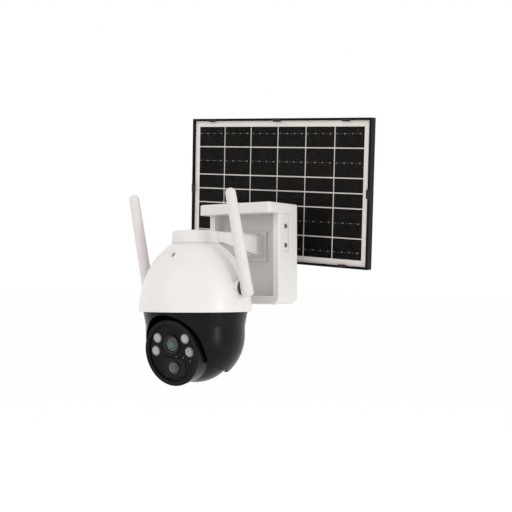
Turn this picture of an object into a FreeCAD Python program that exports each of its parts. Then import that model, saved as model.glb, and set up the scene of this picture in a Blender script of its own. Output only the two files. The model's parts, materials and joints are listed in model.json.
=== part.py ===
"""Solar powered pan and tilt security camera on a wall bracket, in millimetres.

Row frame: origin at the centre of the wall plate's rear face, +Y into the wall,
+Z up, the camera looks along -Y.  Four local frames keep the numbers short:

* camera frame  - X = 0 in the bracket's mid plane, Y = 0 on its rear face,
                  Z = 0 at half its height
* ball frame    - centre of the tilting ball, looking along -Y
* face frame    - as the ball frame, but on the lens barrel's axis
* panel frame   - panel tilt pivot, front glass facing -Y
"""
import FreeCAD, Part
import math
import os
import re
import Sketcher
from FreeCAD import Placement, Rotation, Vector

SIZES = [
    # wall plate and support arm
    ("wall_plate_width", 110, "wall plate, across"),
    ("wall_plate_height", 110, "wall plate, up and down"),
    ("wall_plate_thick", 5, "steel of the wall plate and the adapter plate"),
    ("wall_hole_pitch", 90, "square of wall screws"),
    ("wall_hole_radius", 2.75, "clearance hole for a 5 mm wall screw"),
    ("tongue_width", 30, "tongue that carries the support arm"),
    ("tongue_x", -37, "middle of the tongue and arm, camera frame"),
    ("tongue_drop", 57, "tongue reaches this far below the camera's mid height"),
    ("tube_width", 24, "support arm, square tube across"),
    ("tube_height", 18, "support arm, square tube height"),
    ("tube_wall", 2, "support arm wall"),
    ("tube_z", -46, "middle of the support arm, camera frame"),
    ("adapter_width", 80, "adapter plate behind the bracket"),
    ("adapter_height", 104, "adapter plate behind the bracket"),
    # where the camera hangs in the row frame
    ("standoff", 105, "bracket's rear face in front of the wall"),
    ("camera_x", -0.5, "camera's mid plane beside the panel pivot"),
    ("camera_drop", 85, "bracket's mid height below the panel pivot"),
    # bracket
    ("bracket_width", 103, "bracket housing, across"),
    ("bracket_half_height", 60.3, "bracket housing, half its height"),
    ("bracket_depth", 39.5, "bracket cheeks, front to back"),
    ("bracket_wall", 2.5, "bracket housing wall"),
    ("bracket_corner", 10.5, "rounding of the lower corners"),
    ("visor_thick", 12.8, "lid over the bracket"),
    ("visor_depth", 60, "lid, front to back"),
    ("visor_corner", 3.5, "lid, rounding of the front corners"),
    ("recess_width", 86, "recess between the cheeks"),
    ("recess_floor", 18.5, "recess floor in front of the rear face"),
    ("recess_lip", 10, "band under the recess"),
    # arm and dome
    ("dome_reach", 133, "dome axis in front of the bracket's rear face"),
    ("arm_width", 36, "arm, across"),
    ("arm_top", 24, "arm's top face, camera frame"),
    ("arm_tip_thick", 12.5, "arm at the collar"),
    ("arm_root_thick", 28, "arm at the bracket"),
    ("collar_radius", 26.8, "collar on top of the dome"),
    ("dome_radius", 64, "dome at its rim"),
    ("dome_height", 84.5, "dome's elliptical height above its rim"),
    ("dome_wall", 2.6, "dome wall"),
    ("rim_z", -67.5, "dome rim, camera frame"),
    # pan head and tilting ball
    ("ball_z", -94, "ball centre, camera frame"),
    ("pan_radius", 56, "pan shell, outside"),
    ("pan_wall", 2.25, "pan shell wall"),
    ("pan_flange_radius", 59, "flange inside the dome rim"),
    ("pan_flange_base", 25.5, "flange's lower face, ball frame"),
    ("pan_flange_top", 27.3, "flange's upper face, ball frame"),
    ("pan_top", 57, "top of the pan shell inside the dome, ball frame"),
    ("deck_height", 30.5, "top of the turntable above the dome rim"),
    ("pan_bottom", 41, "lower edge of the pan shell below the ball centre"),
    ("opening_half", 40.4, "half width of the front opening"),
    ("opening_top", 23.6, "top of the front opening above the ball centre"),
    ("tilt_drop", 6, "tilt axis below the centre of the pan shell"),
    ("ball_radius", 47.4, "tilting ball"),
    ("ball_wall", 2.4, "tilting ball wall"),
    ("barrel_radius", 36.9, "barrel round the face"),
    ("barrel_front", 44.5, "front of the barrel, from the ball centre"),
    ("face_drop", 5.4, "barrel and lens axis below the tilt axis"),
    ("face_depth", 2.2, "face below the barrel's front edge"),
    ("rest_tilt", 9.5, "degrees that the lens looks down"),
    ("axle_radius", 4, "tilt axles"),
    ("running_gap", 0.05, "radial clearance of a running fit"),
    # antennas
    ("antenna_reach", 71, "antenna centre line from the dome axis"),
    ("antenna_z", -41, "antenna pivot, camera frame"),
    ("antenna_length", 111.5, "pivot to tip"),
    ("antenna_foot_radius", 7, "antenna foot"),
    ("antenna_base_radius", 6.6, "antenna above its foot"),
    ("antenna_tip_radius", 5.8, "antenna at its tip"),
    ("antenna_lean_left", 16.8, "degrees that the left antenna leans forward"),
    ("antenna_lean_right", 12.6, "degrees that the right antenna leans forward"),
    ("antenna_inward", 2.8, "degrees that the antennas lean inward"),
    # solar panel
    ("panel_width", 270, "panel frame, across"),
    ("panel_height", 182, "panel frame, up and down"),
    ("panel_thick", 10, "panel frame, front to back"),
    ("panel_lip", 3, "front lip of the frame"),
    ("panel_front", 33, "panel front face from the tilt pivot"),
    ("panel_roll", 4.9, "degrees that the panel is turned on its swivel"),
    ("panel_lean", 5, "degrees that the panel's top leans forward"),
    ("pivot_gap", 42, "panel tilt pivot in front of the wall"),
    ("cell_border", 10.5, "white margin round the cells"),
    ("cell_gap", 1.4, "white gap between cells"),
]

doc = FreeCAD.newDocument("security_camera")
sheet = doc.addObject("Spreadsheet::Sheet", "Sizes")
for row, (alias, value, meaning) in enumerate(SIZES, start=1):
    sheet.set(f"A{row}", meaning)
    sheet.set(f"B{row}", str(value))
    sheet.setAlias(f"B{row}", alias)
doc.recompute()
ALIASES = {alias for alias, value, meaning in SIZES}
ALONG_X = Rotation(Vector(0, 1, 0), 90)
ALONG_Y = Rotation(Vector(1, 0, 0), -90)
UPRIGHT = Rotation()
nodes = []


# ---------------------------------------------------------------- helpers
def formula(text):
    """Give a formula's sheet aliases their sheet's name."""
    def named(word):
        return "Sizes." + word[0] if word[0] in ALIASES else word[0]

    return re.sub(r"[a-z][a-z_]+", named, str(text))


def number(text):
    """Value of a formula over the sheet, in millimetres or degrees."""
    result = sheet.evalExpression(formula(text))
    return float(getattr(result, "Value", result))


def point(x, y, z):
    return Vector(number(x), number(y), number(z))


def bind(feature, **sizes):
    """Bind each named property of a feature to a formula over the sheet."""
    for name, text in sizes.items():
        feature.setExpression(name, formula(text))
    return feature


def at(feature, x=0, y=0, z=0, turn=UPRIGHT):
    """Place a feature, its position bound to the sheet."""
    feature.Placement = Placement(point(x, y, z), turn)
    for axis, text in (("x", x), ("y", y), ("z", z)):
        if isinstance(text, str):
            feature.setExpression(f"Placement.Base.{axis}", formula(text))
    return feature


def box(wide, deep, high, x=0, y=0, z=0):
    """Box centred on x and y, standing on z."""
    block = bind(doc.addObject("Part::Box", "box"), Length=wide, Width=deep, Height=high)
    return at(block, f"{x} - ({wide}) / 2", f"{y} - ({deep}) / 2", z)


def rod(radius, length, x=0, y=0, z=0, turn=UPRIGHT):
    """Cylinder from a point, along +Z unless turned."""
    cylinder = bind(doc.addObject("Part::Cylinder", "rod"), Radius=radius, Height=length)
    return at(cylinder, x, y, z, turn)


def taper(radius_low, radius_high, length, x=0, y=0, z=0, turn=UPRIGHT):
    cone = bind(doc.addObject("Part::Cone", "taper"), Radius1=radius_low, Radius2=radius_high, Height=length)
    return at(cone, x, y, z, turn)


def ball(radius, x=0, y=0, z=0):
    return at(bind(doc.addObject("Part::Sphere", "ball"), Radius=radius), x, y, z)


def fuse(*shapes):
    """One solid from several that touch or overlap."""
    joined = doc.addObject("Part::MultiFuse", "fused")
    joined.Shapes = list(shapes)
    joined.Refine = False
    return joined


def cut(base, *tools):
    """A base with each tool taken out of it."""
    for tool in tools:
        result = doc.addObject("Part::Cut", "cut")
        result.Base = base
        result.Tool = tool
        base = result
    return base


def common(first, second):
    shared = doc.addObject("Part::Common", "common")
    shared.Base = first
    shared.Tool = second
    return shared


def group(*shapes):
    """Several separate solids that share one node."""
    collected = doc.addObject("Part::Compound", "group")
    collected.Links = list(shapes)
    return collected


def tube(outer, inner, length, x=0, y=0, z=0, turn=UPRIGHT):
    """Round tube; its bore runs past both ends."""
    overrun = turn.multVec(Vector(0, 0, 1))
    bore_start = point(x, y, z) - overrun
    bore = rod(inner, f"{length} + 2", bore_start.x, bore_start.y, bore_start.z, turn)
    return cut(rod(outer, length, x, y, z, turn), bore)


def rounded(base, radius, chosen):
    """Fillet the edges of a feature that a test picks."""
    doc.recompute()
    fillet = doc.addObject("Part::Fillet", "rounded")
    fillet.Base = base
    picked = [index for index, edge in enumerate(base.Shape.Edges, start=1) if chosen(edge)]
    fillet.Edges = [(index, number(radius), number(radius)) for index in picked]
    return fillet


def runs_along(edge, axis):
    """True for a straight edge parallel to an axis."""
    if edge.Curve.TypeId != "Part::GeomLine":
        return False
    return abs(edge.Curve.Direction.dot(axis)) > 0.999


def new_body(name):
    return doc.addObject("PartDesign::Body", name + "_body")


def outline(body, role, corners, name):
    """Closed sketch through corners given as pairs of formulas, bound to the sheet."""
    sketch = body.newObject("Sketcher::SketchObject", name)
    plane = next(feature for feature in body.Origin.OriginFeatures if feature.Role == role)
    sketch.AttachmentSupport = [(plane, "")]
    sketch.MapMode = "FlatFace"
    places = [Vector(number(x), number(y), 0) for x, y in corners]
    for index, start in enumerate(places):
        sketch.addGeometry(Part.LineSegment(start, places[(index + 1) % len(places)]), False)
    for index, (x, y) in enumerate(corners):
        sketch.addConstraint(Sketcher.Constraint("Coincident", index, 2, (index + 1) % len(corners), 1))
        for kind, text, axis in (("DistanceX", x, -2), ("DistanceY", y, -1)):
            if abs(number(text)) < 1e-9:
                sketch.addConstraint(Sketcher.Constraint("PointOnObject", index, 1, axis))
                continue
            datum = sketch.addConstraint(Sketcher.Constraint(kind, -1, 1, index, 1, number(text)))
            sketch.setExpression(f"Constraints[{datum}]", formula(text))
    return sketch


def pad(body, sketch, length, backwards=False, middle=False):
    feature = body.newObject("PartDesign::Pad", sketch.Name + "_pad")
    feature.Profile = sketch
    feature.Reversed = backwards
    feature.Midplane = middle
    return bind(feature, Length=length)


def soften(body, radius, chosen):
    """Fillet the edges of a body that a test picks."""
    doc.recompute()
    tip = body.Tip
    feature = body.newObject("PartDesign::Fillet", body.Name + "_softened")
    picked = [f"Edge{index}" for index, edge in enumerate(tip.Shape.Edges, start=1) if chosen(edge)]
    feature.Base = (tip, picked)
    return bind(feature, Radius=radius)


def gear_face(teeth, module, backlash=0.24):
    """Flat face of a spur gear with straight-flanked teeth, one tooth centred on +X."""
    pitch = teeth * module / 2
    half_tooth = (math.pi * module / 2 - backlash) / 2 / pitch
    flank = math.tan(math.radians(22)) * module / pitch
    corners = []
    for tooth in range(teeth):
        middle = 2 * math.pi * tooth / teeth
        for radius, angle in (
            (pitch - 1.15 * module, -half_tooth - 1.15 * flank * 0.8),
            (pitch + 0.85 * module, -half_tooth + 0.85 * flank),
            (pitch + 0.85 * module, half_tooth - 0.85 * flank),
            (pitch - 1.15 * module, half_tooth + 1.15 * flank * 0.8),
        ):
            corners.append(Vector(radius * math.cos(middle + angle), radius * math.sin(middle + angle), 0))
    return Part.Face(Part.makePolygon(corners + corners[:1]))


def gear(teeth, module, thick, turn_degrees=0.0):
    """Toothed disc standing on the XY plane."""
    wheel = doc.addObject("Part::Feature", "gear")
    shape = gear_face(teeth, module).extrude(Vector(0, 0, thick))
    wheel.Shape = shape.rotated(Vector(0, 0, 0), Vector(0, 0, 1), turn_degrees)
    return wheel


# ---------------------------------------------------------------- frames
CAMERA = Placement(point("camera_x", "-standoff", "-camera_drop"), UPRIGHT)
BALL_LEVEL = CAMERA * Placement(point(0, "-dome_reach", "ball_z"), UPRIGHT)
BALL = BALL_LEVEL * Placement(point(0, 0, "-tilt_drop"), Rotation(Vector(1, 0, 0), number("rest_tilt")))
FACE = BALL * Placement(point(0, 0, "-face_drop"), UPRIGHT)
SWIVEL = Placement(Vector(), Rotation(Vector(0, 1, 0), number("panel_roll")))
PANEL = SWIVEL * Placement(point(0, "-pivot_gap", 0), Rotation(Vector(1, 0, 0), number("panel_lean")))


def node(name, feature, frame):
    """Name a finished sub-part and move it from its local frame to the row frame."""
    doc.recompute()
    if any(path.lstrip(".").startswith("Placement") for path, text in feature.ExpressionEngine):
        feature = group(feature)
        doc.recompute()
    feature.Label = name
    feature.Placement = frame * feature.Placement
    nodes.append(feature)
    return feature


# ---------------------------------------------------------------- wall side
def wall_parts():
    """Wall plate with its tongue, the square arm and the plate behind the bracket."""
    body = new_body("wall_plate")
    left, right = "tongue_x - tongue_width / 2", "tongue_x + tongue_width / 2"
    half, top = "wall_plate_width / 2", "wall_plate_height / 2"
    plate = outline(body, "XZ_Plane", [
        (f"-{half}", top), (half, top), (half, f"-{top}"), (right, f"-{top}"),
        (right, "-camera_drop - tongue_drop"), (left, "-camera_drop - tongue_drop"),
        (left, f"-{top}"), (f"-{half}", f"-{top}")], "wall_plate_outline")
    pad(body, plate, "wall_plate_thick")
    soften(body, 1.2, lambda edge: runs_along(edge, Vector(0, 1, 0)))
    pitch = "wall_hole_pitch / 2"
    holes = [rod("wall_hole_radius", "wall_plate_thick + 4", x, 2, z, ALONG_Y.inverted())
             for x in (f"-{pitch}", pitch) for z in (f"-{pitch}", pitch)]
    node("wall_plate", cut(body, *holes), Placement())

    tube_start, tube_run = "wall_plate_thick", "standoff - 2 * wall_plate_thick"
    outer = box("tube_width", tube_run, "tube_height", "tongue_x", "standoff / 2", "tube_z - tube_height / 2")
    inner = box("tube_width - 2 * tube_wall", "standoff", "tube_height - 2 * tube_wall",
                "tongue_x", "standoff / 2", "tube_z - tube_height / 2 + tube_wall")
    node("support_arm", cut(outer, inner), CAMERA)

    plate = box("adapter_width", "wall_plate_thick", "adapter_height",
                0, "wall_plate_thick / 2", "-adapter_height / 2")
    holes = [rod(1.8, 9, x, -2, z, ALONG_Y) for x in (-30, 30) for z in (-30, 30)]
    node("adapter_plate", cut(plate, *holes), CAMERA)
    screws = [fuse(rod(3.2, 2, x, "wall_plate_thick", z, ALONG_Y), rod(1.6, 9, x, -4, z, ALONG_Y))
              for x in (-30, 30) for z in (-30, 30)]
    node("adapter_screws", group(*screws), CAMERA)


# ---------------------------------------------------------------- bracket
def bracket_outline(body, name):
    half = "bracket_width / 2"
    return outline(body, "XZ_Plane", [
        (f"-{half}", "bracket_half_height - visor_thick"), (half, "bracket_half_height - visor_thick"),
        (half, "-bracket_half_height"), (f"-{half}", "-bracket_half_height")], name)


def lower_corner(edge):
    return runs_along(edge, Vector(0, 1, 0)) and edge.CenterOfMass.z < 0


def bracket_parts():
    """White housing with a recess for the arm, its rear cover, the lid and what is inside."""
    cover = new_body("bracket_cover")
    pad(cover, bracket_outline(cover, "cover_outline"), "bracket_wall")
    soften(cover, "bracket_corner", lower_corner)
    holes = [rod(1.7, 9, x, 2, z, ALONG_Y.inverted()) for x in (-30, 30) for z in (-30, 30)]
    node("bracket_rear_cover", cut(cover, *holes), CAMERA)

    shell = new_body("bracket_housing")
    pad(shell, bracket_outline(shell, "housing_outline"), "bracket_depth")
    soften(shell, "bracket_corner", lower_corner)
    soften(shell, 2, lambda edge: runs_along(edge, Vector(0, 0, 1)) and edge.CenterOfMass.y < -30)
    behind = box("bracket_width + 4", 20, 140, 0, "10 - bracket_wall", -70)
    recess_top = "bracket_half_height - visor_thick"
    recess_high = f"{recess_top} + bracket_half_height - recess_lip"
    recess = rounded(box("recess_width", 40, f"{recess_high} + 20", 0, "-recess_floor - 20",
                         "recess_lip - bracket_half_height"), 7,
                     lambda edge: runs_along(edge, Vector(0, 0, 1)) and edge.CenterOfMass.y > -30)
    cavity_top = "2 * bracket_half_height - visor_thick - 2 * bracket_wall - 8"
    cavity = box("bracket_width - 2 * bracket_wall - 6", "recess_floor - 2 * bracket_wall", cavity_top,
                 0, "-recess_floor / 2", "bracket_wall + 8 - bracket_half_height")
    slots = [box(3, 10, "bracket_half_height", x, -23.5, 2)
             for x in ("bracket_width / 2", "-bracket_width / 2")]
    screw_holes = [rod(1.6, 10, x, -23.5, z, ALONG_X)
                   for x in ("bracket_width / 2 - 7.9", "-bracket_width / 2 - 2.1") for z in (10, 33)]
    blind = [rod(1.65, 9, x, 1, z, ALONG_Y.inverted()) for x in (-30, 30) for z in (-30, 30)]
    button_hole = rod(3.1, 14, 25, -10, "-bracket_half_height - 1")
    inlet_hole = rod(4, 14, -25, -10, "-bracket_half_height - 1")
    arm_bolt_holes = [rod(1.7, 12, x, "-recess_floor - 2", 10, ALONG_Y) for x in (-11, 11)]
    node("bracket_housing", cut(shell, behind, recess, cavity, *slots, *screw_holes, *blind, button_hole,
                                inlet_hole, *arm_bolt_holes), CAMERA)

    heads = []
    for side in (-1, 1):
        for z in (10, 33):
            face = f"{side} * (bracket_width / 2 - 1.5)"
            outward = ALONG_X if side > 0 else ALONG_X.inverted()
            shank = rod(1.5, 6, f"{face} - {side} * 5.5", -23.5, z, outward)
            heads.append(fuse(rod(3, 1.2, face, -23.5, z, outward), shank))
    node("bracket_side_screws", group(*heads), CAMERA)

    lid = new_body("bracket_visor")
    half = "bracket_width / 2"
    lid_outline = outline(lid, "XY_Plane", [
        (f"-{half}", 0), (half, 0), (half, "-visor_depth"), (f"-{half}", "-visor_depth")], "visor_outline")
    pad(lid, lid_outline, "visor_thick")
    soften(lid, "visor_corner",
           lambda edge: runs_along(edge, Vector(0, 0, 1)) and edge.CenterOfMass.y < -20)
    soften(lid, 2.5, lambda edge: edge.CenterOfMass.z > number("visor_thick") - 0.01
           and edge.CenterOfMass.y < -0.01)
    lid_place = Placement(point(0, 0, "bracket_half_height - visor_thick"), UPRIGHT)
    node("bracket_visor", lid, CAMERA * lid_place)

    node("battery_pack", box(74, 9, 58, 0, -9, -15), CAMERA)
    node("charge_board", box(70, 1.6, 26, 0, -6, -44), CAMERA)
    button = fuse(rod(3, 12.6, 25, -10, "-bracket_half_height - 0.6"),
                  rod(4.4, 1.2, 25, -10, "-bracket_half_height + 11.4"))
    node("reset_button", button, CAMERA)
    socket = cut(rod(3.9, 12.4, -25, -10, "-bracket_half_height"),
                 rod(2.8, 8, -25, -10, "-bracket_half_height - 1"))
    node("charge_socket", socket, CAMERA)


# ---------------------------------------------------------------- arm and dome
def arm_parts():
    body = new_body("arm")
    side = outline(body, "YZ_Plane", [
        ("-recess_floor", "arm_top"), ("-dome_reach", "arm_top"), ("-dome_reach", "arm_top - arm_tip_thick"),
        ("-dome_reach + collar_radius", "arm_top - arm_tip_thick"),
        ("-recess_floor", "arm_top - arm_root_thick")], "arm_side")
    pad(body, side, "arm_width", middle=True)
    soften(body, 5, lambda edge: runs_along(edge, Vector(0, 1, 0))
           and edge.CenterOfMass.z > number("arm_top") - 1)
    collar_base = "rim_z + dome_height * 0.84"
    collar = rounded(rod("collar_radius", f"arm_top - ({collar_base})", 0, "-dome_reach", collar_base), 4.5,
                     lambda edge: edge.CenterOfMass.z > number("arm_top") - 0.1
                     and edge.Curve.TypeId == "Part::GeomCircle")
    flange = box(42, 3.2, 37, 0, "-recess_floor - 1.6", "arm_top - arm_root_thick - 5")
    under = dome_shape("dome_radius + 0.15", "dome_height + 0.15")
    bolt_holes = [rod(1.5, 12, x, "-recess_floor - 10", 10, ALONG_Y) for x in (-11, 11)]
    spigot = rod(12, 12, 0, "-dome_reach", "rim_z + dome_height - 10.5")
    moulding = fuse(cut(fuse(body, collar, flange), under, *bolt_holes), spigot)
    node("camera_arm", cut(moulding, rod(6, 12, 0, "-dome_reach", "rim_z + dome_height - 12")), CAMERA)
    bolts = [fuse(rod(1.45, 14, x, "-recess_floor - 9", 10, ALONG_Y),
                  rod(3.2, 2, x, "-recess_floor + bracket_wall", 10, ALONG_Y)) for x in (-11, 11)]
    node("arm_bolts", group(*bolts), CAMERA)


def dome_shape(radius, high):
    """Upper half of an ellipsoid over the rim, in the camera frame."""
    half = bind(doc.addObject("Part::Ellipsoid", "ellipsoid"), Radius1=high, Radius2=radius, Radius3=radius)
    half.Angle1 = 0
    return at(half, 0, "-dome_reach", "rim_z")


def antenna_place(side, name):
    lean = Rotation(Vector(1, 0, 0), number(f"antenna_lean_{name}"))
    inward = Rotation(Vector(0, 1, 0), -side * number("antenna_inward"))
    return Placement(point(f"{side} * antenna_reach", "-dome_reach", "antenna_z"), lean * inward)


def dome_parts():
    shell = cut(dome_shape("dome_radius", "dome_height"),
                dome_shape("dome_radius - dome_wall", "dome_height - dome_wall"),
                rod(12.3, 40, 0, "-dome_reach", "rim_z + 60"))
    boss_holes = rod(3.2, "2 * dome_radius + 10", "-dome_radius - 5", "-dome_reach", "antenna_z", ALONG_X)
    window_hole = rod(2.6, 30, 0, "-dome_reach - 60", "rim_z + 63.5", ALONG_Y)
    node("dome_shell", cut(shell, boss_holes, window_hole), CAMERA)
    window = common(rod(2.5, 30, 0, "-dome_reach - 60", "rim_z + 63.5", ALONG_Y),
                    cut(dome_shape("dome_radius - 0.5", "dome_height - 0.5"),
                        dome_shape("dome_radius - 2", "dome_height - 2")))
    node("light_sensor_window", window, CAMERA)

    for side, name in ((-1, "left"), (1, "right")):
        outward = ALONG_X if side > 0 else ALONG_X.inverted()
        disc_start = f"{side} * (antenna_reach - antenna_foot_radius - 8.4)"
        disc = cut(rod(9, 8, disc_start, "-dome_reach", "antenna_z", outward),
                   dome_shape("dome_radius + 0.05", "dome_height + 0.05"))
        socket = rod(3.1, "antenna_reach - antenna_foot_radius - pan_radius - 3.2",
                     f"{side} * (pan_radius + 1)", "-dome_reach", "antenna_z", outward)
        bore = rod("2 + running_gap", 20, f"{side} * (pan_radius - 3)", "-dome_reach", "antenna_z", outward)
        node(f"antenna_socket_{name}", cut(fuse(disc, socket), bore), CAMERA)
        foot = rod("antenna_foot_radius", 12, 0, 0, -7)
        stem = taper("antenna_base_radius", "antenna_tip_radius", "antenna_length - 5", 0, 0, 5)
        blade = rounded(fuse(taper(5.2, "antenna_foot_radius", 2, 0, 0, -9), foot, stem), 4.5,
                        lambda edge: edge.CenterOfMass.z > number("antenna_length") - 1
                        and edge.Curve.TypeId == "Part::GeomCircle")
        doc.recompute()
        blade.Placement = antenna_place(side, name)
        pin = rod(2, "antenna_reach - pan_radius - 5", f"{side} * (pan_radius + 1.2)",
                  "-dome_reach", "antenna_z", outward)
        node(f"antenna_{name}", fuse(blade, pin), CAMERA)

    level = "rim_z + deck_height"
    chassis = tube(54.5, "9 + running_gap", 3, 0, "-dome_reach", f"{level} + 2.5")
    hub = tube(13, "9 + running_gap", 9, 0, "-dome_reach", f"{level} + 5.5")
    posts = [rod(2.4, 19.5, x, "-dome_reach - 16", f"{level} + 4") for x in (-32, 32)]
    motor_hole = rod(3.4, 9, 0, "-dome_reach + 33.3", level)
    node("dome_chassis", cut(fuse(chassis, hub, *posts), motor_hole), CAMERA)
    motor = fuse(rod(13.5, 15, 0, "-dome_reach + 33.3", f"{level} + 5.6"),
                 box(34, 7, 1, 0, "-dome_reach + 33.3", f"{level} + 5.6"))
    node("pan_motor", cut(motor, rod(1.6, 9, 0, "-dome_reach + 33.3", f"{level} + 3")), CAMERA)
    board = cut(rod(40, 1.6, 0, "-dome_reach", f"{level} + 23.6"),
                rod(6, 6, 0, "-dome_reach", f"{level} + 22"))
    processor = box(14, 14, 2, 0, "-dome_reach - 20", f"{level} + 24.6")
    node("main_board", fuse(board, processor), CAMERA)
    node("speaker", fuse(rod(16, 4, 0, "-dome_reach", f"{level} + 29"),
                         rod(9, 5, 0, "-dome_reach", f"{level} + 32.5")), CAMERA)


# ---------------------------------------------------------------- pan head
def pan_parts():
    """Black shell that turns under the dome, its turntable, gear and tilt motor."""
    solid = fuse(common(ball("pan_radius"), rod("pan_radius + 1", 60, 0, 0, -60)),
                 rod("pan_radius", "pan_top", 0, 0, 0),
                 taper("pan_radius", "pan_flange_radius", 15, 0, 0, "pan_flange_base - 15"),
                 rod("pan_flange_radius", "pan_flange_top - pan_flange_base", 0, 0, "pan_flange_base"))
    hollow = fuse(ball("pan_radius - pan_wall"), rod("pan_radius - pan_wall", "pan_top + 2", 0, 0, 0))
    bottom = box(140, 140, 60, 0, 0, "-pan_bottom - 60")
    arch = rod("opening_half", 70, 0, 0, "opening_top - opening_half", ALONG_Y.inverted())
    slot = box("2 * opening_half", 78, "60 + opening_top - opening_half", 0, -31, -60)
    bosses = [rod(7.5, 9.6, x, 0, "-tilt_drop", ALONG_X) for x in (44.5, -54.1)]
    shell = fuse(cut(solid, hollow, bottom, arch, slot), *bosses)
    bores = [rod("axle_radius + running_gap", 9, x, 0, "-tilt_drop", ALONG_X) for x in (44, -53)]
    node("pan_shell", cut(shell, *bores), BALL_LEVEL)

    deck = rod("pan_radius - pan_wall - 0.1", 2.9, 0, 0, "pan_top - 2.9")
    spindle = rod(9, 13, 0, 0, "pan_top - 2")
    node("pan_turntable", cut(fuse(deck, spindle), rod(6, 40, 0, 0, 40)), BALL_LEVEL)

    ring = cut(gear(60, 0.9, 1.5), rod(20, 4, 0, 0, -1))
    node("pan_ring_gear", ring, BALL_LEVEL * Placement(point(0, 0, "pan_top"), UPRIGHT))
    pinion = fuse(gear(14, 0.9, 1.5), rod(1.5, 9, 0, 0, 0))
    centre = Placement(point(0, 33.3, "pan_top"), UPRIGHT)
    node("pan_pinion", pinion, BALL_LEVEL * centre)


# ---------------------------------------------------------------- tilting ball
def ball_parts():
    """Ball with its barrel, the face with lens, lights and sensor, and what is behind it."""
    sphere = ball("ball_radius")
    cut_back = "ball_radius - ball_wall"
    front_half = cut(sphere, box(120, 60, 120, 0, 30, -60))
    back = ALONG_Y.inverted()
    barrel = rod("barrel_radius", "barrel_front - 20", 0, -20, "-face_drop", back)
    hollow = ball(cut_back)
    barrel_bore = rod("barrel_radius - 2.6", 60, 0, -19, "-face_drop", back)
    poles = rod(8.3, 130, -65, 0, 0, ALONG_X)
    trimmed = cut(front_half, rod("barrel_radius", 60, 0, -20, "-face_drop", back))
    node("ball_front_shell", cut(fuse(trimmed, barrel), hollow, barrel_bore, poles), BALL)
    rear_half = cut(ball("ball_radius"), box(120, 60, 120, 0, -30, -60))
    node("ball_rear_shell", cut(rear_half, ball(cut_back), rod(8.3, 130, -65, 0, 0, ALONG_X)), BALL)

    ring = tube("barrel_radius - 2.7", "barrel_radius - 4.6", 6, 0, "-barrel_front + 6.4", 0, back)
    node("bezel_ring", ring, FACE)
    face_back = -number("barrel_front - face_depth") + 2
    face = rod("barrel_radius - 4.7", 2, 0, face_back, 0, back)
    holes = [rod(LIGHT_RADIUS + 0.1, 9, x, face_back + 5, z, back) for x, z in LIGHTS]
    lens_hole = rod(10.6, 12, 0, face_back + 5, LENS_Z, back)
    wide, high = SENSOR_SIZE
    sensor_hole = rounded(box(wide + 0.4, 12, high + 0.4, 0, face_back, SENSOR_Z - high / 2 - 0.2), 8,
                          lambda edge: runs_along(edge, Vector(0, 1, 0)))
    node("face_plate", cut(face, *holes, lens_hole, sensor_hole), FACE)

    node("light_lenses", group(*[rod(LIGHT_RADIUS, 4, x, face_back + 1.8, z, back) for x, z in LIGHTS]), FACE)
    node("light_emitters", group(*[rod(2.4, 2, x, face_back + 4, z, back) for x, z in LIGHTS]), FACE)
    board = cut(rod(30, 1.6, 0, face_back + 5.7, 0, back), rod(10.6, 9, 0, face_back + 9, LENS_Z, back),
                box(wide + 1, 9, 50, 0, face_back + 5, SENSOR_Z + high / 2 + 0.4 - 50))
    node("light_board", board, FACE)
    node("lens_barrel", tube(10.3, 8.6, 20, 0, face_back + 18.4, LENS_Z, back), FACE)
    node("lens_ring", tube(11.4, 9.1, 1.4, 0, face_back - 2.05, LENS_Z, back), FACE)
    glass = common(rod(8.5, 8, 0, face_back + 4, LENS_Z, back), ball(20, 0, face_back + 17, LENS_Z))
    node("lens_glass", glass, FACE)
    node("image_sensor", box(9, 1.2, 9, 0, face_back + 19, LENS_Z - 4.5), FACE)
    node("sensor_board", box(36, 1.6, 36, 0, face_back + 20.5, -16), FACE)
    cover = rounded(box(wide, 6, high, 0, face_back + 1, SENSOR_Z - high / 2), 7.8,
                    lambda edge: runs_along(edge, Vector(0, 1, 0)))
    well = rod(9, 6, 0, face_back + 5, SENSOR_Z, back)
    bulge = common(ball(12, 0, face_back + 7.5, SENSOR_Z), box(40, 5, 40, 0, face_back - 4, SENSOR_Z - 20))
    node("motion_sensor_lens", fuse(cut(cover, well), bulge), FACE)
    node("motion_sensor", rod(4, 3, 0, face_back + 6, SENSOR_Z, back), FACE)

    axles = [rod("axle_radius", 16, x, 0, 0, ALONG_X) for x in (36, -52)]
    node("tilt_axles", group(*axles), BALL)
    cheeks = [cut(box(4, 26, 22, x, -4, -11), rod("axle_radius + 0.02", 12, x - 6, 0, 0, ALONG_X))
              for x in (38, -38)]
    cross = box(80, 3, 22, 0, -15.5, -11)
    node("tilt_carrier", fuse(cross, *cheeks), BALL)
    motor = fuse(rod(12, 17, -17, 4, 0, ALONG_X), rod(2, 20, 0, 4, 0, ALONG_X))
    node("tilt_motor", motor, BALL)


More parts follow.
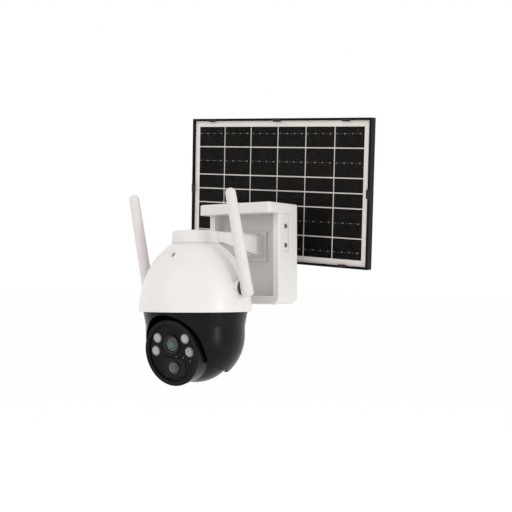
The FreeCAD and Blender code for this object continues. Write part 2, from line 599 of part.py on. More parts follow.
# ---------------------------------------------------------------- solar panel
def panel_parts():
    node("swivel_base", cut(fuse(rod(30, 6, 0, "-wall_plate_thick", 0, ALONG_Y.inverted()),
                                 rod(16, 8, 0, "-wall_plate_thick - 6", 0, ALONG_Y.inverted())),
                            rod("5 + running_gap", 40, 0, 2, 0, ALONG_Y.inverted())), Placement())
    neck = fuse(rod(5, 14, 0, "-wall_plate_thick - 0.5", 0, ALONG_Y.inverted()),
                rod(13, 5, 0, "-wall_plate_thick - 14.5", 0, ALONG_Y.inverted()),
                box(10, 24, 18, 0, "-wall_plate_thick - 30", -9))
    knuckle = cut(neck, rod("3 + running_gap", 40, -20, "-pivot_gap", 0, ALONG_X))
    node("swivel_knuckle", knuckle, SWIVEL)

    bolt = fuse(rod(3, 34, -17, 0, 0, ALONG_X), rod(5.5, 3, -20, 0, 0, ALONG_X))
    node("tilt_bolt", bolt, PANEL)
    node("tilt_knob", cut(fuse(rod(9, 8, 12.2, 0, 0, ALONG_X), rod(6, 2, 20, 0, 0, ALONG_X)),
                          rod(3, 5, 12.1, 0, 0, ALONG_X)), PANEL)
    back = "-panel_front + panel_thick"
    ears = [cut(box(5, 17, 18, x, f"{back} + 11.5", -9), rod(3, 9, x - 4.5, 0, 0, ALONG_X))
            for x in (8.6, -8.6)]
    plate = box(90, 3, 70, 0, f"{back} + 1.5", -35)
    node("panel_mount", fuse(plate, *ears), PANEL)

    inner = ("panel_width - 2 * panel_lip", "panel_height - 2 * panel_lip", "panel_lip - panel_height / 2")
    frame = box("panel_width", "panel_thick", "panel_height",
                0, "-panel_front + panel_thick / 2", "-panel_height / 2")
    opening = box(inner[0], 60, inner[1], 0, -30, inner[2])
    node("panel_frame", cut(frame, opening), PANEL)
    node("panel_glass", box(inner[0], 2, inner[1], 0, "-panel_front + 1.6", inner[2]), PANEL)
    node("panel_backing", box(inner[0], 4, inner[1], 0, f"{back} - 2", inner[2]), PANEL)
    node("panel_white_sheet", box(inner[0], 0.8, inner[1], 0, "-panel_front + 3.4", inner[2]), PANEL)
    cells = []
    wide = "(panel_width - 2 * cell_border + cell_gap) / 6"
    high = "(panel_height - 2 * cell_border + cell_gap)"
    for column in range(6):
        low = 0.0
        for share in ROW_SHARES:
            cells.append(box(f"{wide} - cell_gap", 0.35, f"{high} * {share} - cell_gap",
                             f"cell_border - panel_width / 2 + {wide} * {column} + ({wide} - cell_gap) / 2",
                             "-panel_front + 2.78",
                             f"cell_border - panel_height / 2 + {high} * {low}"))
            low += share
    node("solar_cells", group(*cells), PANEL)
    clips = []
    for along in (-0.38, 0, 0.37):
        for end in (-1, 1):
            clips.append(box(11, 0.8, 4.4, f"panel_width * {along}", "-panel_front - 0.4",
                             f"{end} * (panel_height / 2 - 2.2) - 2.2"))
    for end in (-1, 1):
        clips.append(box(4.4, 0.8, 11, f"{end} * (panel_width / 2 - 2.2)", "-panel_front - 0.4", -5.5))
    node("frame_clips", group(*clips), PANEL)
    node("junction_box", box(44, 12, 20, 80, f"{back} + 6", 30), PANEL)
    outlet = cut(rod(4.5, 9, 80, f"{back} + 6", 21), rod(2.4, 12, 80, f"{back} + 6", 20))
    node("panel_outlet", outlet, PANEL)


LIGHTS = ((-19.4, 16.2), (19.4, 16.2), (-23.6, 1.6), (23.6, 1.6))
LIGHT_RADIUS = 5.8
LENS_Z = 9.2
SENSOR_SIZE = (33, 23)
SENSOR_Z = -16.8
ROW_SHARES = (0.164, 0.223, 0.113, 0.113, 0.223, 0.164)

wall_parts()
bracket_parts()
arm_parts()
dome_parts()
pan_parts()
ball_parts()
panel_parts()
doc.recompute()

# ---------------------------------------------------------------- checks and export
failed = [item.Name for item in doc.Objects if "Invalid" in item.State or "Error" in item.State]
if failed:
    raise RuntimeError("failed features: " + ", ".join(failed))
for feature in nodes:
    if feature.Shape.isNull() or not feature.Shape.isValid():
        raise RuntimeError("bad shape: " + feature.Label)
os.makedirs("parts", exist_ok=True)
for feature in nodes:
    feature.Shape.exportStep(f"parts/{feature.Label}.step")
print(len(nodes), "parts written")
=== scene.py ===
"""Looks of a solar powered pan and tilt security camera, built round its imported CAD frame, in metres."""

import json
import logging
import math
from collections.abc import Iterable
from dataclasses import dataclass, field
from enum import Enum

import bmesh
import bpy
from mathutils import Matrix, Vector


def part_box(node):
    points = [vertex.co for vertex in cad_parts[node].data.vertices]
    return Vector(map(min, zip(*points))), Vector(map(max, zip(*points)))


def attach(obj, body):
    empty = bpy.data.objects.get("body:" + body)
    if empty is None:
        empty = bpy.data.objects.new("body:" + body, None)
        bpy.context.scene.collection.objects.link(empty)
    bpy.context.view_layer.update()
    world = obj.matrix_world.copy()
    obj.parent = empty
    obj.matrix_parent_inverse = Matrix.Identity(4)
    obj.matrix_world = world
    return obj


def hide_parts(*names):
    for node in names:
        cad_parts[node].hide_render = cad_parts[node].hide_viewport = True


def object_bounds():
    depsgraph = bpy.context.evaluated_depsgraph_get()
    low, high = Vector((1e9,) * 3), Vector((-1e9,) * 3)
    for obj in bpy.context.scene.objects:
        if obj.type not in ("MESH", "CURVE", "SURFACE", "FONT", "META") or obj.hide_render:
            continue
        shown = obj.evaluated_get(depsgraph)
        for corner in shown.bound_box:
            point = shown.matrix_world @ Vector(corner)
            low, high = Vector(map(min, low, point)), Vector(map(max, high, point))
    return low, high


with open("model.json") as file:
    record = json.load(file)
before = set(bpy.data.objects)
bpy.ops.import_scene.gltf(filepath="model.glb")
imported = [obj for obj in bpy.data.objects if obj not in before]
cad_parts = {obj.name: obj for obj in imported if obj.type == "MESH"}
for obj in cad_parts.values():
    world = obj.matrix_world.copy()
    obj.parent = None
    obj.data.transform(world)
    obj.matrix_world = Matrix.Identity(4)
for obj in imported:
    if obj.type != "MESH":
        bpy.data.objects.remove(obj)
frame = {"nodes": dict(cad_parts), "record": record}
CAD_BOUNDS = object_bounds()
log = logging.getLogger("camera")
MM = 0.001
Color = tuple[float, float, float]


class Side(Enum):
    """Which of a mirrored pair a piece is; the value is its sign along X."""

    LEFT = -1
    RIGHT = 1

    @property
    def label(self) -> str:
        """Side's name as it stands in node and joint names."""
        return self.name.lower()


# ---------------------------------------------------------------- finishes
@dataclass(frozen=True)
class Finish:
    """A procedural surface finish.

    Attributes:
        name: material name.
        color: base colour, linear.
        roughness: mean roughness.
        specular: specular level.
        coat: clear coat weight.
        metallic: metal weight.
        grain: scale of the fine texture, in cycles per metre.
        bump: height of the fine texture, in metres.
        mottle: how far the colour wanders, as a share.
        stretch: grain's stretch along each axis, for brushed metal.
        alpha: opacity.
        soft_edge: radius by which shading rounds sharp edges, in metres.
    """

    name: str
    color: Color
    roughness: float = 0.45
    specular: float = 0.5
    coat: float = 0.0
    metallic: float = 0.0
    grain: float = 900.0
    bump: float = 0.00002
    mottle: float = 0.04
    stretch: tuple[float, float, float] = (1.0, 1.0, 1.0)
    alpha: float = 1.0
    soft_edge: float = 0.0

    def material(self) -> bpy.types.Material:
        """Build the material, or give the one already made.

        Returns:
            The material with its node tree.
        """
        title = f"finish_{self.name}"
        known = bpy.data.materials.get(title)
        if known is not None:
            return known
        made = bpy.data.materials.new(title)
        made.use_nodes = True
        nodes, links = made.node_tree.nodes, made.node_tree.links
        shader = nodes["Principled BSDF"]
        shader.inputs["Specular IOR Level"].default_value = self.specular
        shader.inputs["Metallic"].default_value = self.metallic
        shader.inputs["Coat Weight"].default_value = self.coat
        shader.inputs["Coat Roughness"].default_value = 0.08
        shader.inputs["Alpha"].default_value = self.alpha
        place = nodes.new("ShaderNodeTexCoord")
        turn = nodes.new("ShaderNodeMapping")
        turn.inputs["Scale"].default_value = self.stretch
        links.new(place.outputs["Object"], turn.inputs["Vector"])
        broad = self.noise(made, turn, self.grain / 30)
        fine = self.noise(made, turn, self.grain)
        tint = nodes.new("ShaderNodeValToRGB")
        tint.color_ramp.elements[0].position = 0.3
        tint.color_ramp.elements[1].position = 0.7
        for stop, share in zip(tint.color_ramp.elements, (1 - self.mottle, 1 + self.mottle)):
            stop.color = (*[min(1.0, channel * share) for channel in self.color], 1)
        links.new(broad.outputs["Fac"], tint.inputs["Fac"])
        links.new(tint.outputs["Color"], shader.inputs["Base Color"])
        spread = nodes.new("ShaderNodeMapRange")
        spread.inputs["To Min"].default_value = max(0.02, self.roughness - 0.05)
        spread.inputs["To Max"].default_value = min(1.0, self.roughness + 0.05)
        links.new(fine.outputs["Fac"], spread.inputs["Value"])
        links.new(spread.outputs["Result"], shader.inputs["Roughness"])
        relief = nodes.new("ShaderNodeBump")
        if self.soft_edge:
            easing = nodes.new("ShaderNodeBevel")
            easing.samples = 4
            easing.inputs["Radius"].default_value = self.soft_edge
            links.new(easing.outputs["Normal"], relief.inputs["Normal"])
        relief.inputs["Strength"].default_value = 0.5
        relief.inputs["Distance"].default_value = self.bump
        links.new(fine.outputs["Fac"], relief.inputs["Height"])
        links.new(relief.outputs["Normal"], shader.inputs["Normal"])
        return made

    @staticmethod
    def noise(made: bpy.types.Material, turn: bpy.types.Node, scale: float) -> bpy.types.Node:
        """Noise texture on the object's own coordinates.

        Args:
            made: material that gets the node.
            turn: mapping node that feeds it.
            scale: cycles per metre.

        Returns:
            The noise node.
        """
        texture = made.node_tree.nodes.new("ShaderNodeTexNoise")
        texture.inputs["Scale"].default_value = scale
        texture.inputs["Detail"].default_value = 3
        made.node_tree.links.new(turn.outputs["Vector"], texture.inputs["Vector"])
        return texture


class Finishes:
    """Every finish on the camera and its panel."""

    WHITE = Finish("white_moulding", (0.665, 0.645, 0.62), 0.4, 0.35, mottle=0.015, grain=1400, soft_edge=0.0008)
    DOME = Finish("white_dome_gloss", (0.685, 0.66, 0.637), 0.3, 0.45, mottle=0.012, grain=1600)
    GREY = Finish("antenna_plastic", (0.63, 0.59, 0.58), 0.42, 0.35, mottle=0.02, grain=1500)
    BLACK = Finish("black_moulding", (0.0034, 0.0032, 0.0034), 0.27, 0.13, mottle=0.1, grain=1500, soft_edge=0.0004)
    FACE = Finish("black_face", (0.0042, 0.0036, 0.0038), 0.42, 0.10, mottle=0.1, grain=2000, soft_edge=0.0003)
    BEZEL = Finish("black_bezel", (0.003, 0.0028, 0.003), 0.2, 0.16, mottle=0.1, grain=1500, soft_edge=0.0003)
    FRAME = Finish("anodised_frame", (0.005, 0.0042, 0.0036), 0.4, 0.08, mottle=0.12, grain=1200,
                   stretch=(0.1, 1, 1), soft_edge=0.0005)
    CELL = Finish("solar_cell", (0.0078, 0.0068, 0.0062), 0.4, 0.05, mottle=0.2, grain=300, bump=0.0)
    SHEET = Finish("white_back_sheet", (0.78, 0.73, 0.69), 0.5, 0.3, mottle=0.02)
    GLASS = Finish("panel_glass", (0.01, 0.01, 0.011), 0.25, 0.05, alpha=0.03, mottle=0.01, bump=0.0)
    BUSBAR = Finish("tinned_busbar", (0.27, 0.26, 0.245), 0.35, 0.5, metallic=0.3, mottle=0.1)
    FINGER = Finish("busbar_ribbon", (0.045, 0.042, 0.040), 0.35, 0.3, metallic=0.2, mottle=0.1)
    POWDER = Finish("powder_coat", (0.62, 0.61, 0.59), 0.55, 0.4, mottle=0.03, grain=2600, bump=0.00004,
                    soft_edge=0.0006)
    STEEL = Finish("plain_steel", (0.30, 0.29, 0.28), 0.32, 0.5, metallic=1.0, mottle=0.06, stretch=(1, 0.1, 1))
    BOARD = Finish("solder_mask", (0.012, 0.09, 0.035), 0.4, 0.5, mottle=0.15)
    ACETAL = Finish("natural_acetal", (0.7, 0.68, 0.62), 0.4, 0.4, mottle=0.03)
    LENS = Finish("coated_lens", (0.012, 0.014, 0.014), 0.08, 0.5, coat=0.4, mottle=0.35, grain=400, bump=0.0)
    LENS_CORE = Finish("lens_core", (0.008, 0.055, 0.038), 0.35, 0.5, coat=0.5, mottle=0.4, grain=900, bump=0.0)
    LENS_EDGE = Finish("lens_edge", (0.06, 0.06, 0.06), 0.3, 0.5, metallic=0.5, mottle=0.05)
    LED = Finish("light_lens", (0.27, 0.262, 0.255), 0.12, 0.6, coat=0.6, mottle=0.7, grain=420, bump=0.0006)
    LED_CORE = Finish("light_facet", (0.47, 0.46, 0.445), 0.15, 0.6, coat=0.5, mottle=0.05)
    LED_RIM = Finish("light_rim", (0.16, 0.155, 0.15), 0.25, 0.5, metallic=0.3, mottle=0.1)
    PHOSPHOR = Finish("phosphor", (0.8, 0.62, 0.16), 0.5, mottle=0.08)
    SENSOR_SKIN = Finish("sensor_dome_edge", (0.010, 0.0095, 0.009), 0.36, 0.6, coat=0.2, mottle=0.08, grain=1800,
                         bump=0.00003)
    # Painted highlight: this lighter sensor colour goes on the cap in the middle of the motion sensor's dark bulge.
    SENSOR = Finish("sensor_polyethylene", (0.040, 0.038, 0.035), 0.36, 0.6, coat=0.3, mottle=0.08, grain=1800,
                    bump=0.00003)
    CAN = Finish("metal_can", (0.5, 0.48, 0.4), 0.35, metallic=1.0, mottle=0.05)
    RUBBER = Finish("moulded_rubber", (0.012, 0.012, 0.012), 0.7, 0.3, mottle=0.1)
    # Painted shade: dark colour for the thin disc that shows as the shaded gap at each antenna's pivot.
    WASHER = Finish("antenna_washer", (0.12, 0.113, 0.105), 0.6, 0.3, mottle=0.08)
    WRAP = Finish("battery_wrap", (0.05, 0.12, 0.3), 0.3, 0.5, mottle=0.05)
    WINDOW = Finish("dark_window", (0.02, 0.019, 0.018), 0.15, 0.5, mottle=0.05)
    PANE = Finish("frosted_pane", (0.24, 0.24, 0.225), 0.3, 0.5, mottle=0.05)
    # Painted shade: near-black colour for the flat crosses that stand in for the screws' shaded cross recesses.
    SLOT = Finish("recess_dark", (0.004, 0.004, 0.004), 0.7, 0.1, mottle=0.05)


NODE_FINISHES: dict[str, Finish] = {
    "bracket_housing": Finishes.WHITE, "bracket_rear_cover": Finishes.WHITE, "bracket_visor": Finishes.WHITE,
    "camera_arm": Finishes.WHITE, "dome_shell": Finishes.DOME,
    "antenna_left": Finishes.GREY, "antenna_right": Finishes.GREY,
    "antenna_socket_left": Finishes.WHITE, "antenna_socket_right": Finishes.WHITE,
    "pan_shell": Finishes.BLACK, "pan_turntable": Finishes.BLACK, "ball_front_shell": Finishes.BLACK,
    "ball_rear_shell": Finishes.BLACK, "bezel_ring": Finishes.BEZEL, "face_plate": Finishes.FACE,
    "lens_ring": Finishes.BEZEL, "lens_barrel": Finishes.FACE, "tilt_knob": Finishes.RUBBER,
    "frame_clips": Finishes.RUBBER, "junction_box": Finishes.FACE, "panel_outlet": Finishes.FACE,
    "swivel_base": Finishes.POWDER, "swivel_knuckle": Finishes.POWDER, "wall_plate": Finishes.POWDER,
    "support_arm": Finishes.POWDER, "adapter_plate": Finishes.POWDER, "panel_mount": Finishes.POWDER,
    "speaker": Finishes.FACE, "tilt_carrier": Finishes.FACE, "charge_socket": Finishes.FACE,
    "adapter_screws": Finishes.STEEL, "bracket_side_screws": Finishes.STEEL, "arm_bolts": Finishes.STEEL,
    "tilt_bolt": Finishes.STEEL, "tilt_axles": Finishes.STEEL, "panel_frame": Finishes.FRAME,
    "panel_glass": Finishes.GLASS, "solar_cells": Finishes.CELL, "panel_white_sheet": Finishes.SHEET,
    "panel_backing": Finishes.SHEET, "main_board": Finishes.BOARD, "light_board": Finishes.FACE,
    "sensor_board": Finishes.BOARD, "charge_board": Finishes.BOARD, "pan_motor": Finishes.CAN,
    "tilt_motor": Finishes.CAN, "pan_ring_gear": Finishes.ACETAL, "pan_pinion": Finishes.ACETAL,
    "dome_chassis": Finishes.ACETAL, "lens_glass": Finishes.LENS, "light_lenses": Finishes.LED,
    "light_emitters": Finishes.PHOSPHOR, "motion_sensor_lens": Finishes.SENSOR,
    "motion_sensor": Finishes.CAN, "image_sensor": Finishes.CAN, "reset_button": Finishes.RUBBER,
    "battery_pack": Finishes.WRAP, "light_sensor_window": Finishes.WINDOW,
}


def joint(name: str) -> dict:
    """Record entry of a joint."""
    return next(item for item in frame["record"]["behaviour"]["joints"] if item["name"] == name)


def pivot(name: str) -> Vector:
    """Pivot point of a hinge, in the row frame."""
    return Vector(joint(name)["pos_m"])


def corners(node: str) -> tuple[Vector, Vector]:
    """Lowest and highest corner of a CAD node."""
    low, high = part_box(node)
    return Vector(low), Vector(high)


# ---------------------------------------------------------------- building
@dataclass
class Workshop:
    """Makes pieces from meshes and puts them on CAD bodies.

    Attributes:
        made: names of the pieces so far.
    """

    made: list[str] = field(default_factory=list)

    def piece(self, name: str, mesh: bmesh.types.BMesh, body: str, finish: Finish,
              stands_for: Iterable[str] = (), smooth: float = 40.0) -> bpy.types.Object:
        """Turn a mesh into a dressed piece.

        Args:
            name: piece name.
            mesh: its geometry, in place in the row frame.
            body: CAD body that it rides on.
            finish: its finish.
            stands_for: CAD nodes that it replaces.
            smooth: edges sharper than this many degrees stay crisp.

        Returns:
            The new object.
        """
        bmesh.ops.recalc_face_normals(mesh, faces=mesh.faces)
        data = bpy.data.meshes.new(name)
        mesh.to_mesh(data)
        mesh.free()
        made = bpy.data.objects.new(name, data)
        bpy.context.scene.collection.objects.link(made)
        data.shade_smooth()
        data.set_sharp_from_angle(angle=math.radians(smooth))
        data.materials.append(finish.material())
        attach(made, body)
        if stands_for:
            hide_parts(*stands_for)
        self.made.append(name)
        log.info("%s: %d faces on %s", name, len(data.polygons), body)
        return made


def turned(profile: list[tuple[float, float]], place: Matrix, steps: int = 96) -> bmesh.types.BMesh:
    """Spin a profile about local Z.

    Args:
        profile: radius and height pairs, in millimetres, from one end of the closed section to the other.
        place: where local space lies in the row frame.
        steps: facets round.

    Returns:
        The closed turned mesh.
    """
    mesh = bmesh.new()
    points = [mesh.verts.new((radius * MM, 0, height * MM)) for radius, height in profile]
    edges = [mesh.edges.new(pair) for pair in zip(points, points[1:])]
    bmesh.ops.spin(mesh, geom=points + edges, cent=(0, 0, 0), axis=(0, 0, 1), angle=math.tau, steps=steps,
                   use_merge=True)
    bmesh.ops.remove_doubles(mesh, verts=mesh.verts, dist=1e-7)
    bmesh.ops.transform(mesh, matrix=place, verts=mesh.verts)
    return mesh


def arc(center: tuple[float, float], radii: tuple[float, float], start: float, end: float,
        steps: int) -> list[tuple[float, float]]:
    """Points along part of an ellipse.

    Args:
        center: radius and height of its centre.
        radii: its two half axes.
        start: first angle, in degrees.
        end: last angle, in degrees.
        steps: number of spans.

    Returns:
        The points, both ends included.
    """
    angles = [math.radians(start + (end - start) * step / steps) for step in range(steps + 1)]
    return [(center[0] + radii[0] * math.cos(angle), center[1] + radii[1] * math.sin(angle)) for angle in angles]


def block(low: tuple[float, float, float], high: tuple[float, float, float], place: Matrix,
          bevel: float = 0.0) -> bmesh.types.BMesh:
    """Box between two corners of a local frame, with rounded edges.

    Args:
        low: its lowest corner, in millimetres.
        high: its highest corner, in millimetres.
        place: where local space lies in the row frame.
        bevel: rounding of its edges, in millimetres.

    Returns:
        The closed box.
    """
    mesh = bmesh.new()
    bmesh.ops.create_cube(mesh, size=1)
    size = [(b - a) * MM for a, b in zip(low, high)]
    centre = Vector([(a + b) / 2 * MM for a, b in zip(low, high)])
    bmesh.ops.scale(mesh, vec=size, verts=mesh.verts)
    if bevel:
        bmesh.ops.bevel(mesh, geom=mesh.edges[:], offset=bevel * MM, segments=3, profile=0.5, affect="EDGES",
                        material=-1)
    bmesh.ops.transform(mesh, matrix=place @ Matrix.Translation(centre), verts=mesh.verts)
    return mesh


def gather(meshes: Iterable[bmesh.types.BMesh]) -> bmesh.types.BMesh:
    """Put many meshes into one.

    Args:
        meshes: the parts, which are used up.

    Returns:
        The joined mesh.
    """
    whole = bmesh.new()
    for mesh in meshes:
        data = bpy.data.meshes.new("part")
        mesh.to_mesh(data)
        mesh.free()
        whole.from_mesh(data)
        bpy.data.meshes.remove(data)
    return whole


# ---------------------------------------------------------------- sub-assemblies
@dataclass
class Camera:
    """Viewpoint, about a metre from the dome and level with the antenna pivots.

    Attributes:
        azimuth: degrees round from the front.
        distance: from the dome axis along the view, in metres.
        aside: dome axis left of the picture's middle, in metres.
        pitch: degrees that it looks up.
        lens: focal length on a 36 mm sensor.
    """

    azimuth: float = 34.8
    distance: float = 1.1915
    aside: float = 0.0685
    pitch: float = 1.746
    lens: float = 73.8

    def build(self) -> None:
        """Create the camera and make it the scene's own."""
        axis = pivot("pan")
        turn = math.radians(self.azimuth)
        right = Vector((math.cos(turn), math.sin(turn), 0))
        back = Vector((math.sin(turn), -math.cos(turn), 0))
        level = pivot("antenna_left_fold").z
        data = bpy.data.cameras.new("view")
        data.lens = self.lens
        data.sensor_width = 36
        eye = bpy.data.objects.new("view", data)
        eye.location = Vector((axis.x, axis.y, level)) + back * self.distance + right * self.aside
        eye.rotation_euler = (math.radians(90 + self.pitch), 0, turn)
        bpy.context.scene.collection.objects.link(eye)
        bpy.context.scene.camera = eye


@dataclass
class Studio:
    """Plain pale floor and soft light.

    Attributes:
        drop: floor below the lowest point of the model, in metres.
        sky: strength of the even light from all round.
    """

    drop: float = 0.4
    sky: float = 1.0

    def build(self) -> None:
        """Create the floor, the sky and the lamps."""
        low = min(CAD_BOUNDS[0][2], CAD_BOUNDS[1][2])
        mesh = bmesh.new()
        bmesh.ops.create_grid(mesh, x_segments=1, y_segments=1, size=60)
        bmesh.ops.translate(mesh, vec=(0, 0, low - self.drop), verts=mesh.verts)
        data = bpy.data.meshes.new("floor")
        mesh.to_mesh(data)
        mesh.free()
        floor = bpy.data.objects.new("floor", data)
        bpy.context.scene.collection.objects.link(floor)
        pale = Finish("pale_floor", (0.985, 0.985, 0.985), 0.9, 0.0, mottle=0.002, grain=50)
        data.materials.append(pale.material())
        lamps = [
            self.lamp("key", (-0.3, -2.05, 0.85), 7.4, 1.6),
            self.lamp("strip", (1.9, -0.3, -0.16), 8.5, 0.24, 1.2),
            self.lamp("fill", (1.8, 0.1, 0.9), 1.0, 1.2),
        ]
        world = bpy.data.worlds.new("sky")
        world.use_nodes = True
        shade = world.node_tree.nodes["Background"]
        shade.inputs["Color"].default_value = (1, 1, 1, 1)
        shade.inputs["Strength"].default_value = self.sky
        bpy.context.scene.world = world
        bpy.context.scene.view_settings.view_transform = "Standard"

    @staticmethod
    def lamp(name: str, place: tuple[float, float, float], power: float, size: float,
             tall: float = 0.0) -> bpy.types.Object:
        """Soft lamp that faces the camera's dome.

        Args:
            name: lamp name.
            place: where it stands.
            power: watts.
            size: width.
            tall: height, where it isn't square.

        Returns:
            The lamp.
        """
        data = bpy.data.lights.new(name, "AREA")
        data.energy = power
        data.size = size
        if tall:
            data.shape = "RECTANGLE"
            data.size_y = tall
        made = bpy.data.objects.new(name, data)
        made.location = place
        made.rotation_euler = (pivot("pan") - Vector(place)).to_track_quat("-Z", "Y").to_euler()
        bpy.context.scene.collection.objects.link(made)
        return made


@dataclass
class Dome:
    """White dome over the pan head.

    Attributes:
        radius: at the rim.
        height: elliptical height.
        wall: thickness.
        mouth: hole for the arm's spigot.
    """

    radius: float = 64.0
    height: float = 84.5
    wall: float = 2.6
    mouth: float = 12.3

    def build(self, shop: Workshop) -> None:
        """Spin the shell between its two ellipses, with a rounded rim.

        Args:
            shop: where the pieces are made.
        """
        axis = pivot("pan")
        rim = corners("dome_shell")[0].z
        outer_end = math.degrees(math.acos((self.mouth + 0.1) / self.radius))
        inner_end = math.degrees(math.acos((self.mouth + 0.1) / (self.radius - self.wall)))
        outer = arc((0, 0), (self.radius, self.height), 1.2, outer_end, 60)
        inner = arc((0, 0), (self.radius - self.wall, self.height - self.wall), inner_end, 1.2, 60)
        lip = arc((self.radius - self.wall / 2, 1.3), (self.wall / 2, 1.3), 180, 360, 8)
        place = Matrix.Translation((axis.x, axis.y, rim))
        mesh = turned(outer + inner + lip + outer[:1], place, 128)
        shop.piece("dome_cover", mesh, "mount", Finishes.DOME, ["dome_shell"])


@dataclass
class Antenna:
    """Fold-down antenna with its foot, seam and rounded tip.

    Attributes:
        side: which of the two it is.
        lean: degrees that it leans forward.
        length: pivot to tip.
        inward: degrees that it leans inward.
    """

    side: Side
    lean: float
    length: float = 111.5
    inward: float = 2.8

    def build(self, shop: Workshop) -> None:
        """Spin the blade about its own leaning axis.

        Args:
            shop: where the pieces are made.
        """
        body = f"antenna_{self.side.label}"
        place = (Matrix.Translation(pivot(f"{body}_fold")) @ Matrix.Rotation(math.radians(self.lean), 4, "X")
                 @ Matrix.Rotation(math.radians(-self.side.value * self.inward), 4, "Y"))
        straight, tip = self.length - 12, 5.8
        profile = [(0, -8.9), (4.6, -8.9), (6.9, -6.6), (6.95, 4.2), (6.75, 4.7), (6.45, 4.9), (6.45, 5.5),
                   (6.6, 5.9)]
        profile += [(6.6 - 0.8 * step / 12, 6 + straight * step / 12) for step in range(1, 13)]
        profile += arc((0, 6 + straight), (tip, 5.9), 6, 90, 12)
        pin_turn = Matrix.Rotation(math.radians(-90 * self.side.value), 4, "Y")
        pin_place = Matrix.Translation(pivot(f"{body}_fold")) @ pin_turn
        pin = turned([(0, 3), (2, 3), (2, 13), (0, 13)], pin_place, 24)
        mesh = gather([turned(profile, place, 48), pin])
        shop.piece(f"antenna_blade_{self.side.label}", mesh, body, Finishes.GREY, [body])
        # Painted shade: a thin dark disc between the socket and the antenna foot, whose rim shows as the shaded gap
        # round the foot.
        gap_shade = turned([(2.2, 7.02), (7.5, 7.02), (7.5, 7.38), (2.2, 7.38), (2.2, 7.02)], pin_place, 48)
        shop.piece(f"antenna_washer_{self.side.label}", gap_shade, "mount", Finishes.WASHER)


@dataclass
class SolarCells:
    """Dark cells with their busbars under the glass.

    Attributes:
        columns: cells across.
        shares: height share of each row, from the bottom.
        bars: row index and height of its busbar within the row.
        border: white margin.
        gap: white line between cells.
        width: panel frame, across.
        height: panel frame, up and down.
        front: panel's front face from its pivot.
        roll: degrees that the panel is turned on its swivel.
        lean: degrees that its top leans forward.
    """

    columns: int = 6
    shares: tuple[float, ...] = (0.164, 0.223, 0.113, 0.113, 0.223, 0.164)
    bars: tuple[tuple[int, float], ...] = ((0, 0.34), (1, 0.5), (4, 0.5), (5, 0.66))
    border: float = 10.5
    gap: float = 1.4
    width: float = 270.0
    height: float = 182.0
    front: float = 33.0
    roll: float = 4.9
    lean: float = 5.0

    def place(self) -> Matrix:
        """Panel frame in the row frame."""
        return (Matrix.Translation(pivot("panel_lean")) @ Matrix.Rotation(math.radians(self.roll), 4, "Y")
                @ Matrix.Rotation(math.radians(self.lean), 4, "X"))

    def build(self, shop: Workshop) -> None:
        """Lay the dashed busbars and their pads on the cells.

        Args:
            shop: where the pieces are made.
        """
        place = self.place()
        wide = (self.width - 2 * self.border + self.gap) / self.columns
        high = self.height - 2 * self.border + self.gap
        lows = [sum(self.shares[:row]) * high for row in range(len(self.shares))]
        surface = -self.front + 2.6
        pads, lines = [], []
        for column in range(self.columns):
            left = self.border - self.width / 2 + wide * column
            for row, level in self.bars:
                z = self.border - self.height / 2 + lows[row] + (self.shares[row] * high - self.gap) * level
                for share in (0.06, 0.33, 0.6, 0.87):
                    x = left + (wide - self.gap) * share
                    reach = 1.1 if share in (0.33, 0.87) else 0.7
                    pads.append(block((x - reach, surface - 0.12, z - 0.5), (x + reach, surface, z + 0.5), place,
                                      0.03))
                for share in (0.04, 0.17, 0.3, 0.43, 0.56, 0.69, 0.82):
                    x = left + (wide - self.gap) * share
                    lines.append(block((x, surface - 0.06, z - 0.3), (x + 3.4, surface, z + 0.3), place))
        shop.piece("busbar_pads", gather(pads), "solar_panel", Finishes.BUSBAR)
        shop.piece("busbars", gather(lines), "solar_panel", Finishes.FINGER)


